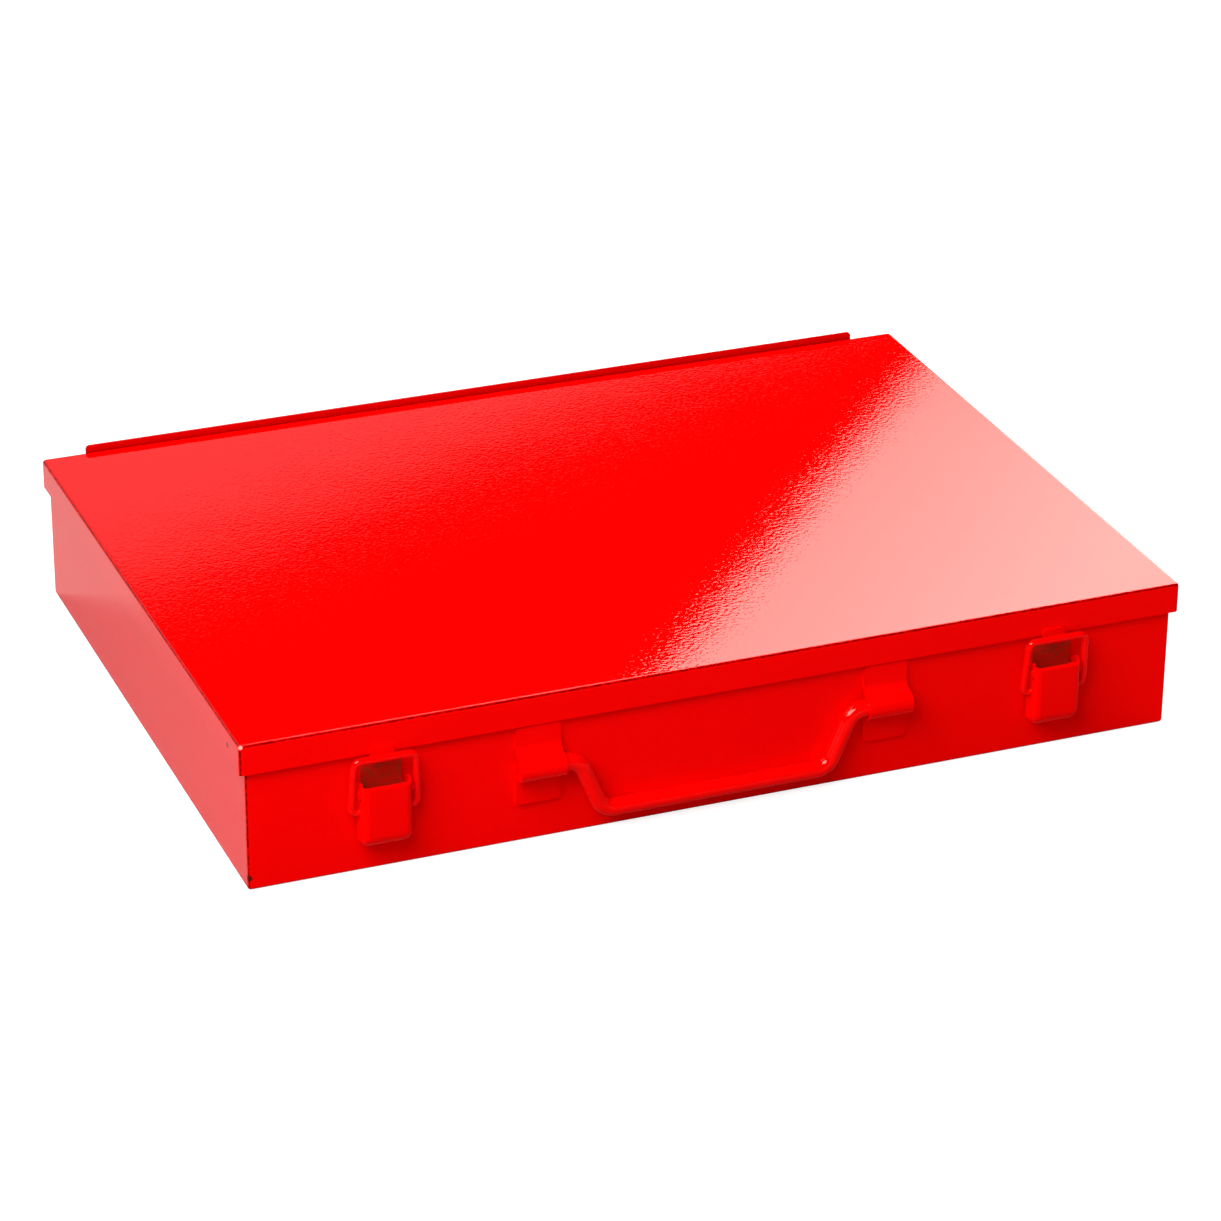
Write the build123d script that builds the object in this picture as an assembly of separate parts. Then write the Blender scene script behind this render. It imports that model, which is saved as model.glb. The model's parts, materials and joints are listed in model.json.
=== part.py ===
from build123d import *
import math
import os

# A flat sheet-steel tool case with a hinged lid, two over-centre latches and a drop handle.
# Frame: X to the right, Y to the back, Z up, millimetres.
# Origin: on the resting plane, under the centre of the lid's outline.
# On the front, "out" is the distance in front of the tray's front wall.

# ---- case -------------------------------------------------------------------------------
CASE_WIDTH = 340.0        # lid, left to right
CASE_DEPTH = 240.0        # lid, front to back
CASE_HEIGHT = 54.3        # resting plane to the top of the lid
SHEET = 0.8               # steel sheet of the tray and the lid

LID_FLANGE = 10.7         # height of the lid's turned-down edge
LID_CORNER = 1.5          # outside radius of the lid's upright corners
LID_BEND = 1.2            # outside radius of the bend along the lid's top edges

FRONT_INSET = 1.8         # lid flange to tray front, outside to outside
SIDE_INSET = 2.3          # lid flange to tray side, outside to outside
TRAY_CORNER = 1.2         # outside radius of the tray's upright corners
TRAY_BEND = 1.0           # outside radius of the bend round the tray's floor
RIM_GAP = 0.3             # tray rim to the underside of the lid
HEM = 6.0                 # height of the rim's folded-in edge
SEAM_GAP = 0.4            # rear seam, between the tray's wall and the lid's flange
REAR_NOTCH = 1.2          # how far the side walls stop short of the back, above the seam

# ---- hinge ------------------------------------------------------------------------------
HINGE_LENGTH = 306.6
LEAF_SHEET = 0.8
LEAF_BELOW = 15.0         # tray leaf, seam to its lower edge
LEAF_PROUD = 2.5          # lid leaf's upper edge above the lid
LEAF_CORNER = 1.5
KNUCKLES = 13             # the odd ones belong to the tray leaf
KNUCKLE_GAP = 0.4
KNUCKLE_RADIUS = 2.3
HINGE_PIN_RADIUS = 1.5
HINGE_PIN_CHAMFER = 0.3
HINGE_PIN_PLAY = 0.04     # radial
BARREL_CLEAR = 0.3        # barrel to the case's rear face
NOTCH_CLEAR = 0.4         # leaf edge to the other leaf's knuckles

# ---- handle -----------------------------------------------------------------------------
HANDLE_SHIFT = -4.0       # the handle sits a little left of centre
WIRE = 6.0                # handle wire diameter
HANDLE_AXIS_UP = 28.7     # height of the axis in the brackets
HANDLE_AXIS_OUT = 3.4
HANDLE_DROP = 20.2        # axis to grip bar
HANDLE_END = 70.2         # half the length over the wire's ends, just inside the brackets
CRANK_TOP = 49.6          # half-spacing of the upper bends' corners
CRANK_FOOT = 41.0         # half-spacing of the lower bends' corners
CRANK_RADIUS = 6.5        # wire centre line, in all four bends
WIRE_CHAMFER = 0.5

BRACKET_SPACING = 62.95   # handle centre to bracket centre
BRACKET_WIDTH = 16.0
BRACKET_SHEET = 1.2
BRACKET_LOW = 14.3
BRACKET_HIGH = 43.1
BRACKET_PLAY = 0.15       # radial, round the wire
BRACKET_HEAD_BEND = 3.4   # outside radius where the strap leaves the wall, above the wire
BRACKET_FOOT_BEND = 1.0   # and below it
PLATE_CORNER = 1.0        # corners of the straps, the latch bases and the strikes

# ---- latches ----------------------------------------------------------------------------
LATCH_SPACING = 121.7     # case centre to latch centre

LEVER_PIVOT_OUT = 4.4
LEVER_PIVOT_UP = 30.6
LOOP_PIVOT_OUT = 3.4
LOOP_PIVOT_UP = 23.6

LEVER_SHEET = 1.0
LEVER_HALF_WIDTH = 8.8
LEVER_DEPTH = 7.8         # front face, out from the tray
LEVER_REAR = 1.0          # the cheeks' rear edges
LEVER_LOW = 10.9
LEVER_TOP = 33.8          # upper edge of the front face
LEVER_CHEEK = 4.1         # radius of the cheeks round the pivot
LEVER_TOE = 5.2           # radius of the rounded lower end, seen from the side
LEVER_EDGE = 2.6          # radius between the front face and the cheeks

BASE_SHEET = 0.8
BASE_HALF_WIDTH = 7.1
BASE_LOW = 14.0
BASE_HIGH = 40.2
EAR_LOW = 23.0
EAR_HIGH = 30.8
EAR_RADIUS = 1.7

PIVOT_RADIUS = 1.0
PIVOT_PLAY = 0.05
PIVOT_HEAD_RADIUS = 1.8
PIVOT_HEAD = 0.4

LOOP_WIRE = 2.5
LOOP_BAR_OUT = 5.1
LOOP_BAR_UP = 43.2
LOOP_HALF_TOP = 10.6      # wire centre line
LOOP_HALF_FOOT = 11.5
LOOP_TOE_END = 7.45
LOOP_TOP_RADIUS = 2.6
LOOP_FOOT_RADIUS = 2.2
LOOP_PLAY = 0.075         # radial, in the lever's cheeks

RIVET_HEIGHTS = (17.5, 27.0)
RIVET_RADIUS = 1.55
RIVET_PLAY = 0.05
RIVET_HEAD_RADIUS = 2.3
RIVET_HEAD = 1.0
RIVET_HEAD_EDGE = 0.8     # radius round a head's rim

STRIKE_HALF_WIDTH = 4.2
STRIKE_HIGH = 45.8
STRIKE_LOW = 40.7
STRIKE_SHEET = 0.8
STRIKE_LIP = 3.5          # how far out the lip reaches, just behind the loop's bar

# ---- worked out from the above ----------------------------------------------------------
LID_X = CASE_WIDTH / 2
LID_Y = CASE_DEPTH / 2
LID_LOW = CASE_HEIGHT - LID_FLANGE
TRAY_X = LID_X - SIDE_INSET
TRAY_FRONT = -LID_Y + FRONT_INSET
REAR = LID_Y
RIM = CASE_HEIGHT - SHEET - RIM_GAP
SEAM = LID_LOW - SEAM_GAP / 2
REAR_WALL_TOP = LID_LOW - SEAM_GAP
HINGE_Y = REAR + BARREL_CLEAR + KNUCKLE_RADIUS
KNUCKLE_PITCH = HINGE_LENGTH / KNUCKLES
HANDLE_AXIS_Y = TRAY_FRONT - HANDLE_AXIS_OUT
FLANGE_OUT = FRONT_INSET  # the lid flange's outer face, out from the tray's front
NEAR = 0.01               # tolerance when an edge is picked by its place


def block(x_low, x_high, y_low, y_high, z_low, z_high):
    """A box given by its limits."""
    size = (x_high - x_low, y_high - y_low, z_high - z_low)
    middle = ((x_low + x_high) / 2, (y_low + y_high) / 2, (z_low + z_high) / 2)
    return Pos(*middle) * Box(*size)


def rod(centre, direction, radius, length):
    """A cylinder centred on a point."""
    return Plane(origin=centre, z_dir=direction) * Cylinder(radius, length)


def side_plane(x):
    """A plane across the front, with its x outwards from the tray and its y upwards."""
    return Plane(origin=(x, TRAY_FRONT, 0), x_dir=(0, -1, 0), z_dir=(-1, 0, 0))


def side_extrusion(sketch, x, half_width):
    """A profile drawn in (out, up), extruded to both sides of x."""
    return extrude(side_plane(x) * sketch, half_width, both=True)


def rounded_block(x_half, y_low, y_high, z_low, z_high, corner):
    """A box with rounded upright edges."""
    solid = block(-x_half, x_half, y_low, y_high, z_low, z_high)
    return fillet(solid.edges().filter_by(Axis.Z), corner)


# ---- case -------------------------------------------------------------------------------
def body_tray():
    """Folded tray: floor, front, sides and a lower rear wall, with the rim folded inwards."""
    outside = rounded_block(TRAY_X, TRAY_FRONT, REAR, 0, RIM, TRAY_CORNER)
    outside = fillet(outside.faces().sort_by(Axis.Z)[0].edges(), TRAY_BEND)

    inside = rounded_block(
        TRAY_X - SHEET, TRAY_FRONT + SHEET, REAR - SHEET, SHEET, RIM - HEM, TRAY_CORNER - SHEET
    )
    inside = fillet(inside.faces().sort_by(Axis.Z)[0].edges(), TRAY_BEND - SHEET)
    mouth = rounded_block(
        TRAY_X - 2 * SHEET,
        TRAY_FRONT + 2 * SHEET,
        REAR - SHEET,
        RIM - HEM - SHEET,
        RIM + SHEET,
        TRAY_CORNER - SHEET,
    )
    tray = outside - inside - mouth

    rear_cut = block(-LID_X, LID_X, REAR - REAR_NOTCH, REAR + SHEET, REAR_WALL_TOP, CASE_HEIGHT)
    rear_hem = block(
        -TRAY_X + TRAY_CORNER,
        TRAY_X - TRAY_CORNER,
        REAR - 2 * SHEET,
        REAR - SHEET / 2,
        REAR_WALL_TOP - HEM,
        REAR_WALL_TOP,
    )
    tray = tray - rear_cut + rear_hem
    tray = fillet(tray.edges().filter_by_position(Axis.Z, RIM - NEAR, RIM + NEAR), SHEET / 2)

    for side in (-1, 1):
        for height in RIVET_HEIGHTS:
            hole_centre = (side * LATCH_SPACING, TRAY_FRONT, height)
            tray -= rod(hole_centre, (0, 1, 0), RIVET_RADIUS + RIVET_PLAY, 4 * SHEET)
    return tray


def lid_shell():
    """Pressed lid: a flat top with an edge turned down on all four sides."""
    outside = rounded_block(LID_X, -LID_Y, LID_Y, LID_LOW, CASE_HEIGHT, LID_CORNER)
    outside = fillet(outside.faces().sort_by(Axis.Z)[-1].edges(), LID_BEND)
    inside = rounded_block(
        LID_X - SHEET,
        -LID_Y + SHEET,
        LID_Y - SHEET,
        LID_LOW - SHEET,
        CASE_HEIGHT - SHEET,
        LID_CORNER - SHEET,
    )
    inside = fillet(inside.faces().sort_by(Axis.Z)[-1].edges(), LID_BEND - SHEET)
    return outside - inside


# ---- hinge ------------------------------------------------------------------------------
def knuckle_limits(index):
    """The left and right ends of one knuckle."""
    left = -HINGE_LENGTH / 2 + index * KNUCKLE_PITCH
    return left + KNUCKLE_GAP / 2, left + KNUCKLE_PITCH - KNUCKLE_GAP / 2


def hinge_leaf(first_knuckle, z_low, z_high, far_edge):
    """A strip on the case's rear face, rolled round the pin at every second knuckle."""
    leaf = block(-HINGE_LENGTH / 2, HINGE_LENGTH / 2, REAR, REAR + LEAF_SHEET, z_low, z_high)
    across = leaf.edges().filter_by(Axis.Y)
    leaf = fillet(across.filter_by_position(Axis.Z, far_edge - NEAR, far_edge + NEAR), LEAF_CORNER)

    reach = KNUCKLE_RADIUS + NOTCH_CLEAR
    for index in range(KNUCKLES):
        left, right = knuckle_limits(index)
        centre = ((left + right) / 2, HINGE_Y, SEAM)
        if index % 2 == first_knuckle:
            leaf += rod(centre, (1, 0, 0), KNUCKLE_RADIUS, right - left)
        else:
            left -= KNUCKLE_GAP
            right += KNUCKLE_GAP
            leaf -= block(left, right, REAR - SHEET, HINGE_Y, SEAM - reach, SEAM + reach)
    bore = rod((0, HINGE_Y, SEAM), (1, 0, 0), HINGE_PIN_RADIUS + HINGE_PIN_PLAY, CASE_WIDTH)
    return leaf - bore


def hinge_leaf_body():
    return hinge_leaf(0, SEAM - LEAF_BELOW, SEAM, SEAM - LEAF_BELOW)


def hinge_leaf_lid():
    top = CASE_HEIGHT + LEAF_PROUD
    return hinge_leaf(1, SEAM, top, top)


def hinge_pin():
    pin = rod((0, HINGE_Y, SEAM), (1, 0, 0), HINGE_PIN_RADIUS, HINGE_LENGTH)
    return chamfer(pin.edges().filter_by(GeomType.CIRCLE), HINGE_PIN_CHAMFER)


# ---- handle -----------------------------------------------------------------------------
def handle_bail():
    """Drop handle: one wire, cranked down between its two brackets."""
    grip = HANDLE_AXIS_UP - HANDLE_DROP
    half = [(HANDLE_END, HANDLE_AXIS_UP), (CRANK_TOP, HANDLE_AXIS_UP), (CRANK_FOOT, grip)]
    left = [(HANDLE_SHIFT - x, HANDLE_AXIS_Y, z) for x, z in half]
    right = [(HANDLE_SHIFT + x, HANDLE_AXIS_Y, z) for x, z in reversed(half)]
    route = FilletPolyline(*left, *right, radius=CRANK_RADIUS)
    bail = sweep(Plane(origin=left[0], z_dir=(1, 0, 0)) * Circle(WIRE / 2), route)
    ends = bail.edges().filter_by(GeomType.CIRCLE).sort_by(Axis.X)
    return chamfer([ends[0], ends[-1]], WIRE_CHAMFER)


def strap_side(bend, direction, end):
    """The strap's centre line from the wire's hump to one end, upwards (1) or downwards (-1)."""
    middle = BRACKET_SHEET / 2
    hump = WIRE / 2 + BRACKET_PLAY + middle
    bend_out = BRACKET_SHEET + bend
    reach = hump + bend + middle
    rise = math.sqrt(reach**2 - (bend_out - HANDLE_AXIS_OUT) ** 2)
    turn = math.degrees(math.atan2(rise, bend_out - HANDLE_AXIS_OUT))
    bend_up = HANDLE_AXIS_UP + direction * rise

    over_wire = CenterArc((HANDLE_AXIS_OUT, HANDLE_AXIS_UP), hump, 0, direction * turn)
    off_wall = CenterArc((bend_out, bend_up), bend + middle, 180, direction * turn)
    return [over_wire, off_wall, Line((middle, bend_up), (middle, end))]


def handle_bracket(side):
    """Saddle strap: a leaf above and below, and a hump that holds the handle's wire."""
    upper = strap_side(BRACKET_HEAD_BEND, 1, BRACKET_HIGH)
    lower = strap_side(BRACKET_FOOT_BEND, -1, BRACKET_LOW)
    profile = trace(Wire(upper + lower), BRACKET_SHEET)
    strap = side_extrusion(profile, HANDLE_SHIFT + side * BRACKET_SPACING, BRACKET_WIDTH / 2)
    corners = strap.edges().filter_by(Axis.Y).group_by(Axis.Z)
    return fillet(corners[0] + corners[-1], PLATE_CORNER)


# ---- latches ----------------------------------------------------------------------------
def latch_base(x):
    """Plate on the tray's front with two ears that carry the lever's pivot."""
    height = BASE_HIGH - BASE_LOW
    web = Pos(BASE_SHEET / 2, BASE_LOW + height / 2) * Rectangle(BASE_SHEET, height)
    plate = side_extrusion(web, x, BASE_HALF_WIDTH)

    pivot = (LEVER_PIVOT_OUT, LEVER_PIVOT_UP)
    root = Polyline((0, EAR_LOW), (0, EAR_HIGH), (LEVER_PIVOT_OUT, EAR_HIGH), close=True)
    ear = make_hull(root.edges() + (Pos(*pivot) * Circle(EAR_RADIUS)).edges())
    for side in (-1, 1):
        middle = x + side * (BASE_HALF_WIDTH - BASE_SHEET / 2)
        plate += side_extrusion(ear, middle, BASE_SHEET / 2)
    plate -= rod(pivot_point(x), (1, 0, 0), PIVOT_RADIUS + PIVOT_PLAY / 2, 4 * BASE_HALF_WIDTH)
    for height in RIVET_HEIGHTS:
        plate -= rod((x, TRAY_FRONT, height), (0, 1, 0), RIVET_RADIUS + RIVET_PLAY, 4 * BASE_SHEET)
    corners = plate.edges().filter_by(Axis.Y).group_by(Axis.Z)
    return fillet(corners[0] + corners[-1], PLATE_CORNER)


def pivot_point(x):
    """Centre of the lever's pivot."""
    return (x, TRAY_FRONT - LEVER_PIVOT_OUT, LEVER_PIVOT_UP)


def lever_form(x, inset):
    """The lever's cover as a full solid, or the space inside it where inset is the sheet."""
    half = LEVER_HALF_WIDTH - inset
    low = LEVER_LOW + inset
    front = LEVER_DEPTH - inset
    height = LEVER_PIVOT_UP + LEVER_CHEEK - low
    outline = Pos(front / 2, low + height / 2) * Rectangle(front, height)
    toe = outline.vertices().sort_by_distance((front, low))[0]
    form = side_extrusion(fillet(toe, LEVER_TOE - inset), x, half)

    cheek_edges = []
    for side in (-1, 1):
        cheek = form.faces().sort_by_distance((x + side * half, TRAY_FRONT - front / 2, low + height / 2))[0]
        rear = cheek.edges().sort_by(Axis.Y)[-1]
        upper = cheek.edges().sort_by(Axis.Z)[-1]
        cheek_edges += [edge for edge in cheek.edges() if edge != rear and edge != upper]
    return fillet(cheek_edges, LEVER_EDGE - inset)


def latch_lever(x):
    """Pressed cover with two cheeks, open to the back and at its upper end."""
    beyond = LEVER_PIVOT_UP + LEVER_CHEEK + LEVER_SHEET
    wide = 2 * LEVER_HALF_WIDTH
    lever = lever_form(x, 0) - lever_form(x, LEVER_SHEET)
    lever -= block(
        x - LEVER_HALF_WIDTH + LEVER_SHEET,
        x + LEVER_HALF_WIDTH - LEVER_SHEET,
        TRAY_FRONT - LEVER_PIVOT_OUT,
        TRAY_FRONT,
        LEVER_LOW + LEVER_TOE,
        beyond,
    )
    lever -= block(x - wide, x + wide, TRAY_FRONT - LEVER_REAR, TRAY_FRONT + LEVER_SHEET, 0, beyond)

    # the cheeks end in an arc round the pivot, and the front face stops lower
    reach = 2 * LEVER_DEPTH
    corner = Pos(0, LEVER_PIVOT_UP + reach / 2) * Rectangle(2 * reach, reach)
    corner -= Pos(LEVER_PIVOT_OUT, LEVER_PIVOT_UP) * Circle(LEVER_CHEEK)
    lever -= side_extrusion(corner, x, wide)
    behind_edge = TRAY_FRONT - LEVER_DEPTH + LEVER_EDGE
    lever -= block(x - wide, x + wide, TRAY_FRONT - reach, behind_edge, LEVER_TOP, beyond)

    lever -= rod(pivot_point(x), (1, 0, 0), PIVOT_RADIUS + PIVOT_PLAY, 4 * LEVER_HALF_WIDTH)
    loop_pivot = (x, TRAY_FRONT - LOOP_PIVOT_OUT, LOOP_PIVOT_UP)
    lever -= rod(loop_pivot, (1, 0, 0), LOOP_WIRE / 2 + LOOP_PLAY, 4 * LEVER_HALF_WIDTH)
    return lever


def latch_lever_pin(x):
    """Headed pin through the ears and the cheeks."""
    head_face = LEVER_HALF_WIDTH + PIVOT_PLAY
    pin = rod(pivot_point(x), (1, 0, 0), PIVOT_RADIUS, 2 * head_face)
    for side in (-1, 1):
        middle = x + side * (head_face + PIVOT_HEAD / 2)
        centre = (middle, TRAY_FRONT - LEVER_PIVOT_OUT, LEVER_PIVOT_UP)
        pin += rod(centre, (1, 0, 0), PIVOT_HEAD_RADIUS, PIVOT_HEAD)
    return pin


def latch_loop(x):
    """Wire loop with turned-in toes that sit in the lever's cheeks."""
    rise = math.hypot(LOOP_BAR_OUT - LOOP_PIVOT_OUT, LOOP_BAR_UP - LOOP_PIVOT_UP)
    lean = math.atan2(LOOP_BAR_OUT - LOOP_PIVOT_OUT, LOOP_BAR_UP - LOOP_PIVOT_UP)
    plane = Plane(
        origin=(x, TRAY_FRONT - LOOP_PIVOT_OUT, LOOP_PIVOT_UP),
        x_dir=(1, 0, 0),
        z_dir=(0, -math.cos(lean), -math.sin(lean)),
    )
    half = [(LOOP_TOE_END, 0), (LOOP_HALF_FOOT, 0), (LOOP_HALF_TOP, rise)]
    left = [plane.from_local_coords((-across, up, 0)) for across, up in half]
    right = [plane.from_local_coords((across, up, 0)) for across, up in reversed(half)]
    foot, top = LOOP_FOOT_RADIUS, LOOP_TOP_RADIUS
    route = FilletPolyline(*left, *right, radius=(foot, top, top, foot))
    return sweep(Plane(origin=left[0], z_dir=(1, 0, 0)) * Circle(LOOP_WIRE / 2), route)


def latch_rivets(x):
    """Two rivets that hold a latch's base on the tray."""
    rivets = []
    inner_face = TRAY_FRONT + SHEET
    outer_face = TRAY_FRONT - BASE_SHEET
    for height in RIVET_HEIGHTS:
        span = inner_face - outer_face
        shank = rod((x, (inner_face + outer_face) / 2, height), (0, 1, 0), RIVET_RADIUS, span)
        front = rod((x, outer_face - RIVET_HEAD / 2, height), (0, 1, 0), RIVET_HEAD_RADIUS, RIVET_HEAD)
        back = rod((x, inner_face + RIVET_HEAD / 2, height), (0, 1, 0), RIVET_HEAD_RADIUS, RIVET_HEAD)
        front = fillet(front.edges().sort_by(Axis.Y)[0], RIVET_HEAD_EDGE)
        back = fillet(back.edges().sort_by(Axis.Y)[-1], RIVET_HEAD_EDGE)
        rivets.append(shank + front + back)
    return Compound(children=rivets)


def latch_strike(x):
    """Keeper on the lid's flange, with a lip that ends just behind the loop's bar."""
    face = FLANGE_OUT + STRIKE_SHEET
    shelf = STRIKE_LOW + STRIKE_SHEET
    outline = Polyline(
        (FLANGE_OUT, STRIKE_LOW),
        (STRIKE_LIP, STRIKE_LOW),
        (STRIKE_LIP, shelf),
        (face, shelf),
        (face, STRIKE_HIGH),
        (FLANGE_OUT, STRIKE_HIGH),
        close=True,
    )
    strike = side_extrusion(make_face(outline), x, STRIKE_HALF_WIDTH)
    corners = strike.edges().filter_by(Axis.Y).group_by(Axis.Z)[-1]
    return fillet(corners, PLATE_CORNER)


def sub_parts():
    """Every node's name and solid."""
    yield "body_tray", body_tray()
    yield "lid_shell", lid_shell()
    yield "hinge_leaf_body", hinge_leaf_body()
    yield "hinge_leaf_lid", hinge_leaf_lid()
    yield "hinge_pin", hinge_pin()
    yield "handle_bail", handle_bail()
    for side, name in ((-1, "left"), (1, "right")):
        x = side * LATCH_SPACING
        yield "handle_bracket_" + name, handle_bracket(side)
        yield "latch_base_" + name, latch_base(x)
        yield "latch_lever_" + name, latch_lever(x)
        yield "latch_lever_pin_" + name, latch_lever_pin(x)
        yield "latch_loop_" + name, latch_loop(x)
        yield "latch_rivets_" + name, latch_rivets(x)
        yield "latch_strike_" + name, latch_strike(x)


os.makedirs("parts", exist_ok=True)
for node, solid in sub_parts():
    export_step(solid, "parts/" + node + ".step")
    print(node, round(solid.volume, 1))
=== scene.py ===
import json
import math

import bpy
from mathutils import Matrix, Vector


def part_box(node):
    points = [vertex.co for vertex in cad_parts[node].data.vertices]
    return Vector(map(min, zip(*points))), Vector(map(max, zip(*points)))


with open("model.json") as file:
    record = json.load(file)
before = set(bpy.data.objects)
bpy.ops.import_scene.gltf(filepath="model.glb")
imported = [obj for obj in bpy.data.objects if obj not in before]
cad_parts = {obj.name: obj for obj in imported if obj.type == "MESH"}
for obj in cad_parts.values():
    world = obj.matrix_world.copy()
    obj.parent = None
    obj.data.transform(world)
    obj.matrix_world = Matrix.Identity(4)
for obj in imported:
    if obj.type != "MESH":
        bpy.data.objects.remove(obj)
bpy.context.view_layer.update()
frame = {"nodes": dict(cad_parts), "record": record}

# A flat red powder-coated tool case on a white studio floor, seen from its front left.
# Metres throughout. X to the right, Y to the back, Z up, origin under the middle of the case.
# A heading is in degrees from +Y towards +X, and an elevation in degrees upwards.

NODES = frame["nodes"]
WHITE = (1.0, 1.0, 1.0, 1.0)

# ---- camera -------------------------------------------------------------------------------
PHOTO_PIXELS = 1221
FOCAL_PIXELS = 4528.9
SENSOR_WIDTH = 36.0
CAMERA_PLACE = Vector((-0.5354, -1.3551, 0.7361))
CAMERA_HEADING = 21.776
CAMERA_PITCH = -26.2243         # its elevation
CAMERA_ROLL = 0.4523            # degrees, anticlockwise

# ---- coat ---------------------------------------------------------------------------------
RED = (0.920, 0.0004, 0.0003, 1.0)
RED_THIN = (0.820, 0.0006, 0.0004, 1.0)
RED_HINGE_SHADE = (0.590, 0.0006, 0.0004, 1.0)     # painted shade: the hinge leaves, darker than the case because their strip's face lies in shade
RED_BEND_SHADE = (0.160, 0.0005, 0.0004, 1.0)     # painted shade: a dark line painted along the bends
GLOSS_TINT = (1.0, 0.02, 0.015, 1.0)
HARDWARE_TINT = (1.0, 0.65, 0.58, 1.0)      # the wires and pins, whose glints are nearly white
COAT_ROUGHNESS = (0.012, 0.020)

# A noise's scale is in cells per metre, and its range is the part of its values that is used.
MIDDLE_RANGE = (0.3, 0.7)       # where nearly all of a noise's values lie
BLOTCH_SCALE = 18.0             # slow blotches of RED_THIN
BLOTCH_RANGE = (0.35, 0.75)
BLOTCH_SHARE = 0.16             # how much of the colour gives way to it
SMEAR_SCALE = 55.0              # smears that vary the roughness
PEEL_SIZE = 0.0013              # one ripple of the powder coat's orange peel
PEEL_HEIGHT = 0.0000165
WAVE_SIZE = 0.045               # slow waves of the pressed sheet
WAVE_HEIGHT = 0.000030

# Painted shade: the coat is darkened along its bends, standing in for the shade at the edges.
BEND_RANGE = (0.80, 0.985)      # the normal's largest part, from fully on a bend to off it
BEND_SHADE_SHARE = 0.95               # how much of the colour gives way to the painted bend shade on a bend
SHADE_SPECK_SCALE = 700.0              # specks that break up the painted bend shade
SHADE_SPECK_RANGE = (0.30, 0.60)
SHADE_SPECK_LEAST = 0.45               # share of the painted bend shade's darkening that is left between the specks

# marks in the coat, two dark chips and a pale pink speck painted on the lid's front left top
# corner: place on the case, radius, colour painted there
COAT_MARKS = (
    ((-0.1700, -0.1075, 0.0491), 0.0013, (0.030, 0.004, 0.003, 1.0)),
    ((-0.1693, -0.1194, 0.0538), 0.0009, (0.900, 0.300, 0.260, 1.0)),
    ((-0.1674, -0.1180, 0.0044), 0.0014, (0.110, 0.004, 0.003, 1.0)),
)
MARK_CORE = 0.6                 # share of a mark's radius that takes its colour fully

# ---- latch plate and steel ----------------------------------------------------------------
# Painted shade: the plate behind the latch is painted dark red and brown because it lies in shade
# in the latch's window.
PLATE_RED_SHADE = (0.55, 0.008, 0.003, 1.0)
PLATE_BROWN_SHADE = (0.34, 0.020, 0.006, 1.0)
PLATE_ROUGHNESS = (0.25, 0.45)
PATCH_SCALE = 420.0             # browner patches in the plate's painted shade
PATCH_RANGE = (0.40, 0.70)
PLATE_SMEAR_SCALE = 900.0
GRAIN_SCALE = 1600.0
GRAIN_HEIGHT = 0.000015

STEEL_DARK = (0.42, 0.42, 0.43, 1.0)
STEEL_LIGHT = (0.60, 0.60, 0.61, 1.0)
STEEL_ROUGHNESS = (0.20, 0.38)
LINE_SCALE = (60.0, 6000.0, 6000.0)         # drawing lines, along X and across it
LINE_HEIGHT = 0.00001
LINE_STRENGTH = 0.6

# ---- studio -------------------------------------------------------------------------------
FLOOR_DROP = 0.0003             # how far the floor lies under the case
FLOOR_SIZE = 30.0
FLOOR_ALBEDO = 0.45
FLOOR_ALBEDO_AHEAD = 0.06       # for a mirror, in front of the case: the studio's dark end
FLOOR_AHEAD = (-0.120, -0.117)  # Y where that is full, and Y where it has ended
FLOOR_GLOW_SEEN = 0.80          # added where a camera looks at the floor
FLOOR_GLOW_MIRRORED = 0.01      # added where a mirror or glass looks at it
AMBIENT = 0.36                  # even light from all sides
BACKDROP_HEADING = -25.0        # of the wall that a mirror sees
BACKDROP_GLOW = 0.50
BACKDROP_FADE = (0.618, 0.643)  # tangent of the elevations between which the wall fades out
BACKDROP_LEAST = 0.05           # least cosine from its heading, which keeps that tangent finite
CEILING = 0.002                 # what a mirror sees above the wall
HORIZON_FADE = (0.00, 0.06)     # sine of the elevations between which the white horizon fades

# The back soft box. The lid mirrors its left edge as a diagonal through two points of the lid,
# each with the (heading, elevation) in which the camera's mirrored sight leaves the lid there.
KEY_EDGE_POINTS = ((-0.0292, -0.1159), (0.1693, 0.0905))
KEY_EDGE_SIGHTS = ((22.57, 26.99), (26.15, 22.98))
KEY_DISTANCE = 1.9
KEY_SIZE = (1.3, 1.6)           # away from that edge, and along it
KEY_RADIANCE = 6.6
KEY_COLOUR = (1.0, 0.97, 0.88)
# Its brightness changes with the share of its width from that edge, and of its length along it.
KEY_EDGE_RADIANCE = 0.53        # at the edge, against 1 at the core
KEY_CORE = 0.17                 # share of the width at which the core begins
KEY_FAR_START = 1.5 * KEY_CORE  # where it begins to brighten further
KEY_FAR_RADIANCE = 1.8          # on its far side, which the lid doesn't mirror
KEY_SPAN = (0.40, 0.62)         # the two shares of the length for which the next two hold
KEY_LIFT = (-0.07, 0.23)        # what is added to the brightness there
KEY_EDGE_FADE = (0.010, 0.003)  # share of the width over which the edge fades in there

# The main soft box, at the upper front left.
MAIN_FROM = (-130.0, 46.0)      # heading and elevation
MAIN_DISTANCE = 1.30
MAIN_SIZE = (0.8, 0.7)
MAIN_RADIANCE = 10.1


def direction(heading, elevation):
    """Unit vector for a heading and an elevation."""
    h, e = math.radians(heading), math.radians(elevation)
    return Vector((math.sin(h) * math.cos(e), math.cos(h) * math.cos(e), math.sin(e)))


# ---- node helpers -------------------------------------------------------------------------
def new_tree(owner):
    """The emptied node tree of a material, the world or a lamp."""
    owner.use_nodes = True
    tree = owner.node_tree
    tree.nodes.clear()
    return tree


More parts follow.
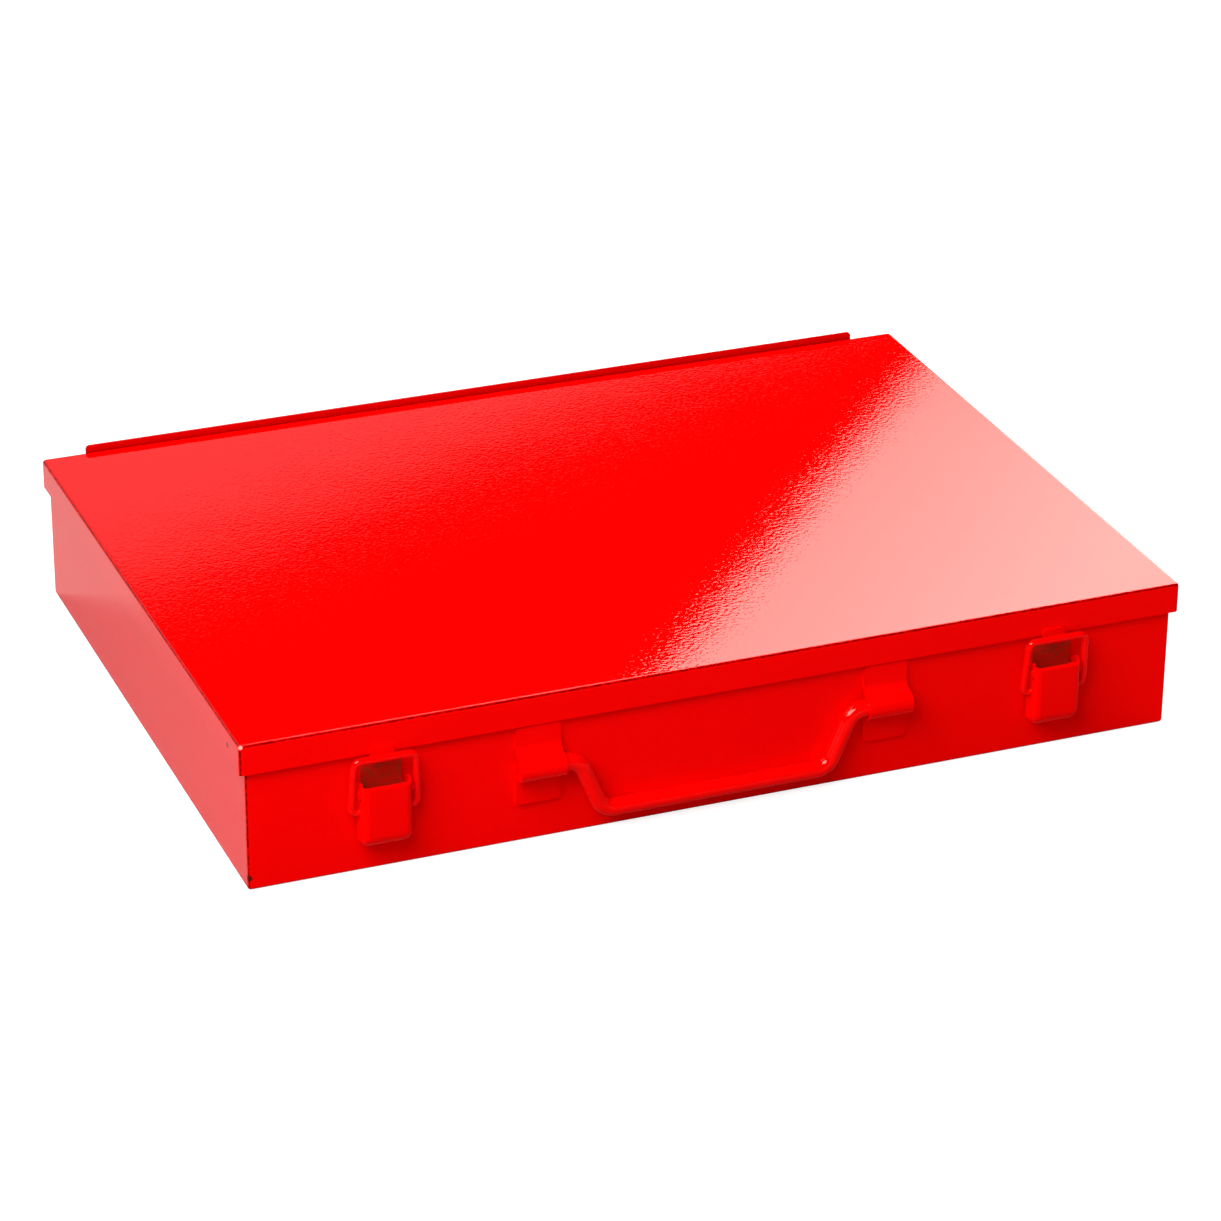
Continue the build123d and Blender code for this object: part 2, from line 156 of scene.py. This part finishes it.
def add(tree, kind, inputs=None, **settings):
    """A node with its settings and its inputs. An input is a value or another node's output."""
    node = tree.nodes.new(kind)
    for name, value in settings.items():
        setattr(node, name, value)
    for key, value in (inputs or {}).items():
        socket = node.inputs[key]
        if isinstance(value, bpy.types.NodeSocket):
            tree.links.new(value, socket)
        else:
            socket.default_value = value
    return node


def maths(tree, operation, first, second=0.0):
    return add(tree, "ShaderNodeMath", {0: first, 1: second}, operation=operation).outputs[0]


def split(tree, vector):
    """A vector's parts, by the names X, Y and Z."""
    return add(tree, "ShaderNodeSeparateXYZ", {0: vector}).outputs


def ramp(tree, value, low, high, out_low=0.0, out_high=1.0, smooth=True):
    """value from low to high becomes out_low to out_high, clamped."""
    limits = {"From Min": low, "From Max": high, "To Min": out_low, "To Max": out_high}
    kind = "SMOOTHSTEP" if smooth else "LINEAR"
    inputs = {"Value": value, **limits}
    node = add(tree, "ShaderNodeMapRange", inputs, interpolation_type=kind, clamp=True)
    return node.outputs["Result"]


def noise(tree, where, scale, detail=2.0, roughness=0.5):
    inputs = {"Vector": where, "Scale": scale, "Detail": detail, "Roughness": roughness}
    return add(tree, "ShaderNodeTexNoise", inputs).outputs["Fac"]


def blend_colours(tree, factor, first, second):
    inputs = {0: factor, 6: first, 7: second}
    return add(tree, "ShaderNodeMix", inputs, data_type="RGBA", clamp_factor=True).outputs[2]


def bump(tree, height, distance, strength=1.0, normal=None):
    """The normal bent by a height, on top of another bent normal if there is one."""
    inputs = {"Strength": strength, "Distance": distance, "Height": height}
    if normal is not None:
        inputs["Normal"] = normal
    return add(tree, "ShaderNodeBump", inputs).outputs[0]


# ---- materials ----------------------------------------------------------------------------
def start_material(name):
    """A new material, its tree, and where a point lies on the case."""
    material = bpy.data.materials.new(name)
    tree = new_tree(material)
    return material, tree, add(tree, "ShaderNodeTexCoord").outputs["Object"]


def set_surface(tree, inputs):
    shader = add(tree, "ShaderNodeBsdfPrincipled", inputs)
    add(tree, "ShaderNodeOutputMaterial", {"Surface": shader.outputs[0]})


def bend_mask(tree):
    """Near 1 where the surface is bent away from the three main directions."""
    parts = split(tree, add(tree, "ShaderNodeTexCoord").outputs["Normal"])
    x, y, z = [maths(tree, "ABSOLUTE", parts[axis]) for axis in "XYZ"]
    largest = maths(tree, "MAXIMUM", maths(tree, "MAXIMUM", x, y), z)
    return ramp(tree, largest, *BEND_RANGE, 1.0, 0.0)


def coat_colour(tree, where, red, bends):
    """The coat's red with its blotches, and with bends a speckled painted shade along the bends
    and the coat's marks.
    """
    blotches = noise(tree, where, BLOTCH_SCALE, detail=4.0)
    thin = ramp(tree, blotches, *BLOTCH_RANGE, 0.0, BLOTCH_SHARE)
    colour = blend_colours(tree, thin, red, RED_THIN)
    if not bends:
        return colour

    # painted shade: a speckled dark line along the bends
    specks = noise(tree, where, SHADE_SPECK_SCALE, detail=3.0)
    bend_shade = ramp(tree, specks, *SHADE_SPECK_RANGE, SHADE_SPECK_LEAST * BEND_SHADE_SHARE, BEND_SHADE_SHARE)
    colour = blend_colours(tree, maths(tree, "MULTIPLY", bend_mask(tree), bend_shade), colour, RED_BEND_SHADE)
    for place, radius, mark_colour in COAT_MARKS:
        away = add(tree, "ShaderNodeVectorMath", {0: where, 1: place}, operation="DISTANCE")
        mark = ramp(tree, away.outputs["Value"], MARK_CORE * radius, radius, 1.0, 0.0)
        colour = blend_colours(tree, mark, colour, mark_colour)
    return colour


def powder_coat(name, red=RED, tint=GLOSS_TINT, wave_height=0.0, bends=False):
    """Glossy red powder coat with orange peel.

    A pressed sheet also has slow waves, and with bends the coat gets a dark painted shade along
    its bends.
    """
    material, tree, where = start_material(name)
    colour = coat_colour(tree, where, red, bends)
    smears = noise(tree, where, SMEAR_SCALE, detail=5.0, roughness=0.6)
    ripples = noise(tree, where, 1.0 / PEEL_SIZE, detail=1.5, roughness=0.45)
    swells = noise(tree, where, 1.0 / WAVE_SIZE, detail=1.0)
    fine = bump(tree, ripples, PEEL_HEIGHT)
    set_surface(
        tree,
        {
            "Base Color": colour,
            "Metallic": 0.0,
            "Roughness": ramp(tree, smears, *MIDDLE_RANGE, *COAT_ROUGHNESS, smooth=False),
            "IOR": 1.5,
            "Specular Tint": tint,
            "Normal": bump(tree, swells, wave_height, normal=fine),
        },
    )
    return material


def latch_plate():
    """Plate behind the latch: a darkened red with browner patches, painted shade for the shaded
    window behind the latch.
    """
    material, tree, where = start_material("latch_plate")
    patches = ramp(tree, noise(tree, where, PATCH_SCALE, detail=4.0), *PATCH_RANGE)
    smears = noise(tree, where, PLATE_SMEAR_SCALE, detail=3.0)
    grain = noise(tree, where, GRAIN_SCALE, detail=3.0)
    set_surface(
        tree,
        {
            "Base Color": blend_colours(tree, patches, PLATE_RED_SHADE, PLATE_BROWN_SHADE),
            "Roughness": ramp(tree, smears, *MIDDLE_RANGE, *PLATE_ROUGHNESS, smooth=False),
            "Specular Tint": GLOSS_TINT,
            "Normal": bump(tree, grain, GRAIN_HEIGHT),
        },
    )
    return material


def drawn_steel():
    """Bright drawn wire with fine lines along X."""
    material, tree, where = start_material("bare_steel")
    stretched = add(tree, "ShaderNodeMapping", {"Vector": where, "Scale": LINE_SCALE})
    lines = noise(tree, stretched.outputs[0], 1.0, detail=3.0)
    set_surface(
        tree,
        {
            "Base Color": blend_colours(tree, lines, STEEL_DARK, STEEL_LIGHT),
            "Metallic": 1.0,
            "Roughness": ramp(tree, lines, *MIDDLE_RANGE, *STEEL_ROUGHNESS, smooth=False),
            "Normal": bump(tree, lines, LINE_HEIGHT, LINE_STRENGTH),
        },
    )
    return material


STRAP_PAINT = powder_coat("strap_paint")
# painted shade: the hinge leaves take a darker red for the shade on their strip
HINGE_SHADED_PAINT = powder_coat("hinge_shaded_paint", red=RED_HINGE_SHADE, bends=True)
# Some nodes have a coat of their own. The others take the material of their slot.
OWN_MATERIALS = {
    "hinge_leaf_body": HINGE_SHADED_PAINT,
    "hinge_leaf_lid": HINGE_SHADED_PAINT,
    "handle_bracket_left": STRAP_PAINT,
    "handle_bracket_right": STRAP_PAINT,
    "latch_lever_left": STRAP_PAINT,
    "latch_lever_right": STRAP_PAINT,
    "latch_strike_left": STRAP_PAINT,
    "latch_strike_right": STRAP_PAINT,
}
MATERIALS = {
    "case_paint": powder_coat("case_paint", wave_height=WAVE_HEIGHT, bends=True),
    "hardware_paint": powder_coat("hardware_paint", tint=HARDWARE_TINT),
    "latch_plate": latch_plate(),
    "bare_steel": drawn_steel(),
}
for sub_part in frame["record"]["subparts"]:
    node = NODES[sub_part["node"]]
    material = OWN_MATERIALS.get(sub_part["node"], MATERIALS[sub_part["material_slot"]])
    for material_slot in node.material_slots:
        material_slot.material = material


# ---- floor, world, lamps and camera -------------------------------------------------------
def sight_kinds(tree):
    """Two values: 1 for rays from a camera, and 1 for rays from a mirror or glass."""
    path = add(tree, "ShaderNodeLightPath").outputs
    mirrored = maths(tree, "MAXIMUM", path["Is Glossy Ray"], path["Is Transmission Ray"])
    return path["Is Camera Ray"], mirrored


def make_floor():
    mesh = bpy.data.meshes.new("floor")
    half = FLOOR_SIZE / 2
    corners = [(-half, -half), (half, -half), (half, half), (-half, half)]
    mesh.from_pydata([(x, y, -FLOOR_DROP) for x, y in corners], [], [(0, 1, 2, 3)])
    floor = bpy.data.objects.new("floor", mesh)
    bpy.context.scene.collection.objects.link(floor)

    material = bpy.data.materials.new("floor_paper")
    tree = new_tree(material)
    seen, mirrored = sight_kinds(tree)
    depth = split(tree, add(tree, "ShaderNodeNewGeometry").outputs["Position"])["Y"]
    ahead = maths(tree, "MULTIPLY", mirrored, ramp(tree, depth, *FLOOR_AHEAD, 1.0, 0.0))
    shades = [(albedo,) * 3 + (1.0,) for albedo in (FLOOR_ALBEDO, FLOOR_ALBEDO_AHEAD)]
    paper = add(tree, "ShaderNodeBsdfDiffuse", {"Color": blend_colours(tree, ahead, *shades)})

    seen_glow = maths(tree, "MULTIPLY", seen, FLOOR_GLOW_SEEN)
    behind = maths(tree, "SUBTRACT", mirrored, ahead)
    mirrored_glow = maths(tree, "MULTIPLY", behind, FLOOR_GLOW_MIRRORED)
    strength = maths(tree, "MAXIMUM", seen_glow, mirrored_glow)
    glow = add(tree, "ShaderNodeEmission", {"Color": WHITE, "Strength": strength})
    both = add(tree, "ShaderNodeAddShader", {0: paper.outputs[0], 1: glow.outputs[0]})
    add(tree, "ShaderNodeOutputMaterial", {"Surface": both.outputs[0]})
    mesh.materials.append(material)


def make_world():
    """White for the camera. A mirror sees a white horizon, a pale wall and a dark ceiling."""
    world = bpy.data.worlds.new("studio")
    bpy.context.scene.world = world
    tree = new_tree(world)
    towards = add(tree, "ShaderNodeTexCoord").outputs["Generated"]
    height = split(tree, towards)["Z"]
    wall = direction(BACKDROP_HEADING, 0.0)
    across = add(tree, "ShaderNodeVectorMath", {0: towards, 1: wall}, operation="DOT_PRODUCT")
    across = maths(tree, "MAXIMUM", across.outputs["Value"], BACKDROP_LEAST)
    steepness = maths(tree, "DIVIDE", height, across)
    backdrop = ramp(tree, steepness, *BACKDROP_FADE, BACKDROP_GLOW, CEILING)
    horizon = ramp(tree, height, *HORIZON_FADE, 1.0, 0.0)

    strengths = (AMBIENT, maths(tree, "MAXIMUM", backdrop, horizon), 1.0)
    light, reflection, sight = [
        add(tree, "ShaderNodeBackground", {"Color": WHITE, "Strength": strength}).outputs[0]
        for strength in strengths
    ]
    seen, mirrored = sight_kinds(tree)
    shown = add(tree, "ShaderNodeMixShader", {0: mirrored, 1: light, 2: reflection}).outputs[0]
    shown = add(tree, "ShaderNodeMixShader", {0: seen, 1: shown, 2: sight}).outputs[0]
    add(tree, "ShaderNodeOutputWorld", {"Surface": shown})


def lamp(name, place, facing, upwards, size, radiance, colour=(1.0, 1.0, 1.0)):
    """The data of a new rectangular soft box. size is its width and its height."""
    data = bpy.data.lights.new(name, "AREA")
    data.shape = "RECTANGLE"
    data.size, data.size_y = size
    data.energy = radiance * math.pi * size[0] * size[1]
    data.color = colour
    box = bpy.data.objects.new(name, data)
    back = -facing.normalized()
    side = upwards.cross(back).normalized()
    turn = Matrix((side, back.cross(side), back)).transposed().to_4x4()
    box.matrix_world = Matrix.Translation(place) @ turn
    box.visible_camera = False
    bpy.context.scene.collection.objects.link(box)
    return data


def set_key_brightness(key):
    """Brighter from its left edge towards its far side, and a soft left edge."""
    tree = new_tree(key)
    place = split(tree, add(tree, "ShaderNodeNewGeometry").outputs["Parametric"])
    across, along = maths(tree, "SUBTRACT", 1.0, place["X"]), place["Y"]
    fade_width = ramp(tree, along, *KEY_SPAN, *KEY_EDGE_FADE, smooth=False)
    fade = ramp(tree, across, 0.0, fade_width)
    core = ramp(tree, across, 0.0, KEY_CORE, KEY_EDGE_RADIANCE, 1.0, smooth=False)
    far = ramp(tree, across, KEY_FAR_START, 1.0, 1.0, KEY_FAR_RADIANCE)
    lift = ramp(tree, along, *KEY_SPAN, *KEY_LIFT, smooth=False)
    lifted = maths(tree, "ADD", maths(tree, "MULTIPLY", core, far), lift)
    strength = maths(tree, "MULTIPLY", fade, lifted)
    emission = add(tree, "ShaderNodeEmission", {"Strength": strength})
    add(tree, "ShaderNodeOutputLight", {"Surface": emission.outputs[0]})


def make_key():
    """The big soft box at the back right."""
    lid_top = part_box("lid_shell")[1][2]
    starts = [Vector((x, y, lid_top)) for x, y in KEY_EDGE_POINTS]
    sights = [direction(*sight) for sight in KEY_EDGE_SIGHTS]
    upper, lower = [start + sight * KEY_DISTANCE for start, sight in zip(starts, sights)]
    along = (upper - lower).normalized()
    edge_middle = (lower + upper) / 2
    facing = -edge_middle.normalized()
    away = along.cross(facing).normalized()
    centre = edge_middle + away * KEY_SIZE[0] / 2
    set_key_brightness(lamp("key", centre, facing, along, KEY_SIZE, KEY_RADIANCE, KEY_COLOUR))


def make_main():
    towards_lamp = direction(*MAIN_FROM)
    place = towards_lamp * MAIN_DISTANCE
    lamp("main", place, -towards_lamp, Vector((0, 0, 1)), MAIN_SIZE, MAIN_RADIANCE)


def make_camera():
    data = bpy.data.cameras.new("camera")
    data.sensor_width = SENSOR_WIDTH
    data.lens = FOCAL_PIXELS / PHOTO_PIXELS * SENSOR_WIDTH
    data.clip_start = 0.05
    data.clip_end = 100.0
    camera = bpy.data.objects.new("camera", data)
    look = direction(CAMERA_HEADING, CAMERA_PITCH).to_track_quat("-Z", "Y").to_matrix().to_4x4()
    roll = Matrix.Rotation(math.radians(CAMERA_ROLL), 4, "Z")
    camera.matrix_world = Matrix.Translation(CAMERA_PLACE) @ look @ roll
    bpy.context.scene.collection.objects.link(camera)
    bpy.context.scene.camera = camera


make_floor()
make_world()
make_key()
make_main()
make_camera()
bpy.context.scene.view_settings.view_transform = "Standard"
